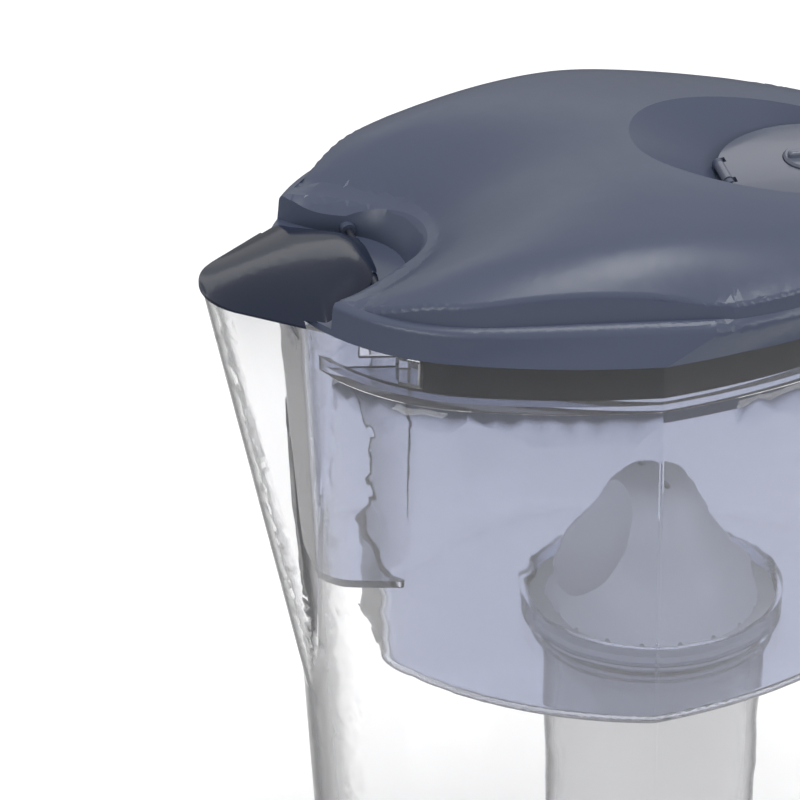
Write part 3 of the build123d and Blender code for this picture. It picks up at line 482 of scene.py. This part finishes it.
def lid_shift(rim, x, y, z):
    """How far a point of the lid moves up: a wider, softer dip, fuller shoulders, a rolled edge."""
    rise, middle, length, side, width = SHOULDER
    shoulder = rise * exp(-((x - middle) / length) ** 2 - ((abs(y) - side) / width) ** 2)
    share = min(1.0, max(0.0, (z - DIP_LOW_Z) / DIP_RAMP))
    shift = share * (dip(x, y, *FRAME_DIP) - dip(x, y, *SOFT_DIP) + shoulder)
    if z > EDGE_LOW_Z:
        inside = rim.find((x, y, 0.0))[2]
        roll = max(0.0, 1.0 - inside / EDGE_REACH) ** 2
        shift -= EDGE_DROP * roll * min(1.0, (z - EDGE_LOW_Z) / EDGE_RAMP)
    return shift


def beak_flank(ahead):
    """Half width of the beak's straight flanks, in millimetres."""
    centre = BEAK_CENTRE + BEAK_RADIUS * sin(BEAK_LEAN)
    return BEAK_RADIUS * cos(BEAK_LEAN) + (centre - ahead) * tan(BEAK_LEAN)


def flap_half(ahead):
    """Half width of the spout flap's rim, in millimetres."""
    if ahead > FLAP_WIDE:
        return beak_flank(ahead)
    widening = (ahead - FLAP_NECK) / (FLAP_WIDE - FLAP_NECK)
    return FLAP_NECK_HALF + (beak_flank(FLAP_WIDE) - FLAP_NECK_HALF) * widening


def flap_shift(x, y, z):
    """How far a point of the spout flap sinks, so that its tip and sides get thin."""
    if z < CROWN_BASE_Z or x > CROWN_START:
        return 0.0
    along = min(TIP_LIMIT, max(0.0, (CROWN_X - x) / CROWN_REACH))
    share = (1 - along ** FINE_CROWN_POWER) / (1 - along ** FRAME_CROWN_POWER)
    aside = min(SIDE_LIMIT, abs(y) / max(1.0, flap_half(-x)))
    side = (1 - aside ** FINE_SIDE_POWER) / (1 - aside ** FRAME_SIDE_POWER)
    ahead = min(1.0, max(0.0, (CROWN_START - x) / CROWN_EASE))
    factor = (1 - ahead * (1 - side)) * (1 - ahead * (1 - share * CROWN_SHARE))
    return (z - CROWN_BASE_Z) * (factor - 1)


class PITCHER_OT_jug(bpy.types.Operator):
    """Finish the clear jug and the grip inlay of its handle"""
    bl_idname = "pitcher.jug"
    bl_label = "Jug"

    def execute(self, context):
        colours, sizes = context.scene.pitcher_colours, context.scene.pitcher_sizes
        clear = clear_finish("clear_wall", colours.clear, colours.edge)
        smooth_piece("jug_body", clear, sizes, clear=True)
        smooth_piece("handle_grip", rubber_finish("grip_inlay", colours.grip), sizes)
        return {"FINISHED"}


class PITCHER_OT_funnel(bpy.types.Operator):
    """Finish the tinted funnel that hangs in the jug"""
    bl_idname = "pitcher.funnel"
    bl_label = "Funnel"

    def execute(self, context):
        colours, sizes = context.scene.pitcher_colours, context.scene.pitcher_sizes
        tinted = clear_finish("tinted_wall", colours.tinted, colours.edge, colours.well)
        smooth_piece("funnel", tinted, sizes, clear=True)
        return {"FINISHED"}


class PITCHER_OT_cartridge(bpy.types.Operator):
    """Finish the cartridge's cap, cup, seal and filling"""
    bl_idname = "pitcher.cartridge"
    bl_label = "Cartridge"

    def execute(self, context):
        colours, sizes = context.scene.pitcher_colours, context.scene.pitcher_sizes
        smooth_piece("cartridge_cap", satin_finish("cap_satin", colours.cap, 0.38, 0.46), sizes)
        smooth_piece("cartridge_cup", satin_finish("cup_satin", colours.cup, 0.42, 0.52), sizes)
        smooth_piece("seal_ring", rubber_finish("seal_lip", colours.seal), sizes)
        sieve = satin_finish("sieve_white", colours.sieve, 0.5, 0.6)
        smooth_piece("upper_mesh", sieve, sizes)
        smooth_piece("lower_mesh", sieve, sizes)
        grains = grain_finish("granule_bed", colours.carbon, colours.resin)
        smooth_piece("filter_granules", grains, sizes)
        smooth_piece("felt_pad", felt_finish("felt_layer", colours.felt), sizes)
        return {"FINISHED"}


class PITCHER_OT_lid(bpy.types.Operator):
    """Finish the lid's shell, its inner frame and its catches"""
    bl_idname = "pitcher.lid"
    bl_label = "Lid"

    def execute(self, context):
        colours, sizes = context.scene.pitcher_colours, context.scene.pitcher_sizes
        rolled = partial(lid_shift, rim_tree())
        slate = satin_finish("lid_satin", colours.lid, 0.30, 0.38)
        smooth_piece("lid_shell", slate, sizes, reshape=rolled)
        smooth_piece("lid_frame", satin_finish("frame_dark", colours.frame, 0.5, 0.6, gloss=0.1), sizes)
        catch = clear_finish("catch_clear", colours.catch, colours.edge)
        smooth_piece("lid_catches", catch, sizes, clear=True)
        return {"FINISHED"}


class PITCHER_OT_flaps(bpy.types.Operator):
    """Finish the spout flap, the fill flap, their pins and the dial"""
    bl_idname = "pitcher.flaps"
    bl_label = "Flaps and dial"

    def execute(self, context):
        colours, sizes = context.scene.pitcher_colours, context.scene.pitcher_sizes
        navy = gloss_finish("flap_navy", colours.flap, 0.2)
        smooth_piece("spout_flap", navy, sizes, reshape=flap_shift)
        smooth_piece("fill_flap", gloss_finish("fill_flap_gloss", colours.fill_flap, 0.2), sizes)
        pin = satin_finish("pin_satin", colours.pin, 0.35, 0.45)
        smooth_piece("spout_flap_pins", pin, sizes)
        smooth_piece("fill_flap_pin", pin, sizes)
        smooth_piece("dial", gloss_finish("dial_gloss", colours.fill_flap, 0.2), sizes)
        smooth_piece("dial_clip", pin, sizes)
        return {"FINISHED"}


def floor_finish(name, near, far, inner, outer):
    """A floor that renders white, keeps the object's shadow, and fades to grey away from the object."""
    finish = Finish(name, near, 0.9)
    coordinates = finish.add("ShaderNodeTexCoord")
    reach = finish.add("ShaderNodeVectorMath", operation="LENGTH")
    finish.links.new(coordinates.outputs["Object"], reach.inputs[0])
    fade = finish.add("ShaderNodeMapRange", interpolation_type="SMOOTHSTEP")
    fade.inputs["From Min"].default_value = inner
    fade.inputs["From Max"].default_value = outer
    finish.links.new(reach.outputs["Value"], fade.inputs["Value"])
    tone = finish.add("ShaderNodeMix", data_type="RGBA")
    tone.inputs[6].default_value = (*near, 1.0)
    tone.inputs[7].default_value = (*far, 1.0)
    finish.links.new(fade.outputs["Result"], tone.inputs[0])
    finish.links.new(tone.outputs[2], finish.shader.inputs["Base Color"])
    path = finish.add("ShaderNodeLightPath")
    seen = finish.spread(fade.outputs["Result"], GLOW_NEAR, GLOW_FAR)
    direct = finish.times(seen, path.outputs["Is Camera Ray"])
    indirect = finish.highest(path.outputs["Is Glossy Ray"], path.outputs["Is Transmission Ray"])
    mirrored = finish.times(finish.spread(fade.outputs["Result"], GLOW_NEAR, 0.0), indirect)
    finish.set("Emission Color", (1.0, 1.0, 1.0, 1.0))
    finish.links.new(finish.highest(direct, mirrored), finish.shader.inputs["Emission Strength"])
    return finish.material


def soft_lamp(name, place, target, size, power):
    lamp = bpy.data.lights.new(name, "AREA")
    lamp.shape = "RECTANGLE"
    lamp.size, lamp.size_y = size
    lamp.energy = power
    holder = bpy.data.objects.new(name, lamp)
    holder.location = place
    aim = Vector(target) - Vector(place)
    holder.rotation_euler = aim.to_track_quat("-Z", "Y").to_euler()
    bpy.context.scene.collection.objects.link(holder)
    return holder


class PITCHER_OT_stage(bpy.types.Operator):
    """Set the floor, the soft lamps, the sky and the camera"""
    bl_idname = "pitcher.stage"
    bl_label = "Stage"

    def execute(self, context):
        sizes = context.scene.pitcher_sizes
        deselect()
        bpy.ops.mesh.primitive_plane_add(size=sizes.floor_span, location=(0, 0, 0))
        floor = context.object
        floor.name = "floor"
        floor.data.materials.append(floor_finish(
            "floor_white", (0.8, 0.8, 0.8), (0.22, 0.22, 0.23), sizes.bright_radius, sizes.grey_radius))
        world = bpy.data.worlds.new("studio")
        context.scene.world = world
        world.use_nodes = True
        nodes, links = world.node_tree.nodes, world.node_tree.links
        sky = nodes["Background"]
        path = nodes.new("ShaderNodeLightPath")
        mix = nodes.new("ShaderNodeMapRange")
        mix.inputs["To Min"].default_value = SKY_LIGHT
        mix.inputs["To Max"].default_value = SKY_SEEN
        links.new(path.outputs["Is Camera Ray"], mix.inputs["Value"])
        links.new(mix.outputs["Result"], sky.inputs["Strength"])
        sky.inputs["Color"].default_value = (1.0, 1.0, 1.0, 1.0)
        for name, place, size, power in LAMPS:
            soft_lamp(name, place, LAMP_TARGET, size, power)
        camera_data = bpy.data.cameras.new("camera")
        camera_data.lens = sizes.lens
        camera_data.sensor_width = SENSOR_WIDTH
        camera_data.clip_end = CLIP_END
        camera = bpy.data.objects.new("camera", camera_data)
        camera.location = sizes.camera_place
        camera.rotation_euler = (pi / 2 - sizes.camera_elevation, 0.0, sizes.camera_azimuth)
        context.scene.collection.objects.link(camera)
        context.scene.camera = camera
        context.scene.view_settings.view_transform = "Standard"
        return {"FINISHED"}


class PITCHER_PT_panel(bpy.types.Panel):
    """Sizes, colours and steps of the pitcher"""
    bl_label = "Water filter pitcher"
    bl_idname = "PITCHER_PT_panel"
    bl_space_type = "VIEW_3D"
    bl_region_type = "UI"
    bl_category = "Pitcher"

    def draw(self, context):
        scene = context.scene
        for group in (scene.pitcher_colours, scene.pitcher_sizes):
            box = self.layout.box()
            for name in group.bl_rna.properties.keys():
                if name not in ("rna_type", "name"):
                    box.prop(group, name)
        for step in STEPS:
            self.layout.operator(step.bl_idname)


STEPS = (
    PITCHER_OT_jug,
    PITCHER_OT_funnel,
    PITCHER_OT_cartridge,
    PITCHER_OT_lid,
    PITCHER_OT_flaps,
    PITCHER_OT_stage,
)
CLASSES = (PitcherColours, PitcherSizes, *STEPS, PITCHER_PT_panel)


def register():
    for item in CLASSES:
        bpy.utils.register_class(item)
    bpy.types.Scene.pitcher_colours = bpy.props.PointerProperty(type=PitcherColours)
    bpy.types.Scene.pitcher_sizes = bpy.props.PointerProperty(type=PitcherSizes)


def unregister():
    del bpy.types.Scene.pitcher_sizes
    del bpy.types.Scene.pitcher_colours
    for item in reversed(CLASSES):
        bpy.utils.unregister_class(item)


def main():
    register()
    bpy.ops.pitcher.jug()
    bpy.ops.pitcher.funnel()
    bpy.ops.pitcher.cartridge()
    bpy.ops.pitcher.lid()
    bpy.ops.pitcher.flaps()
    bpy.ops.pitcher.stage()


if __name__ == "__main__":
    main()
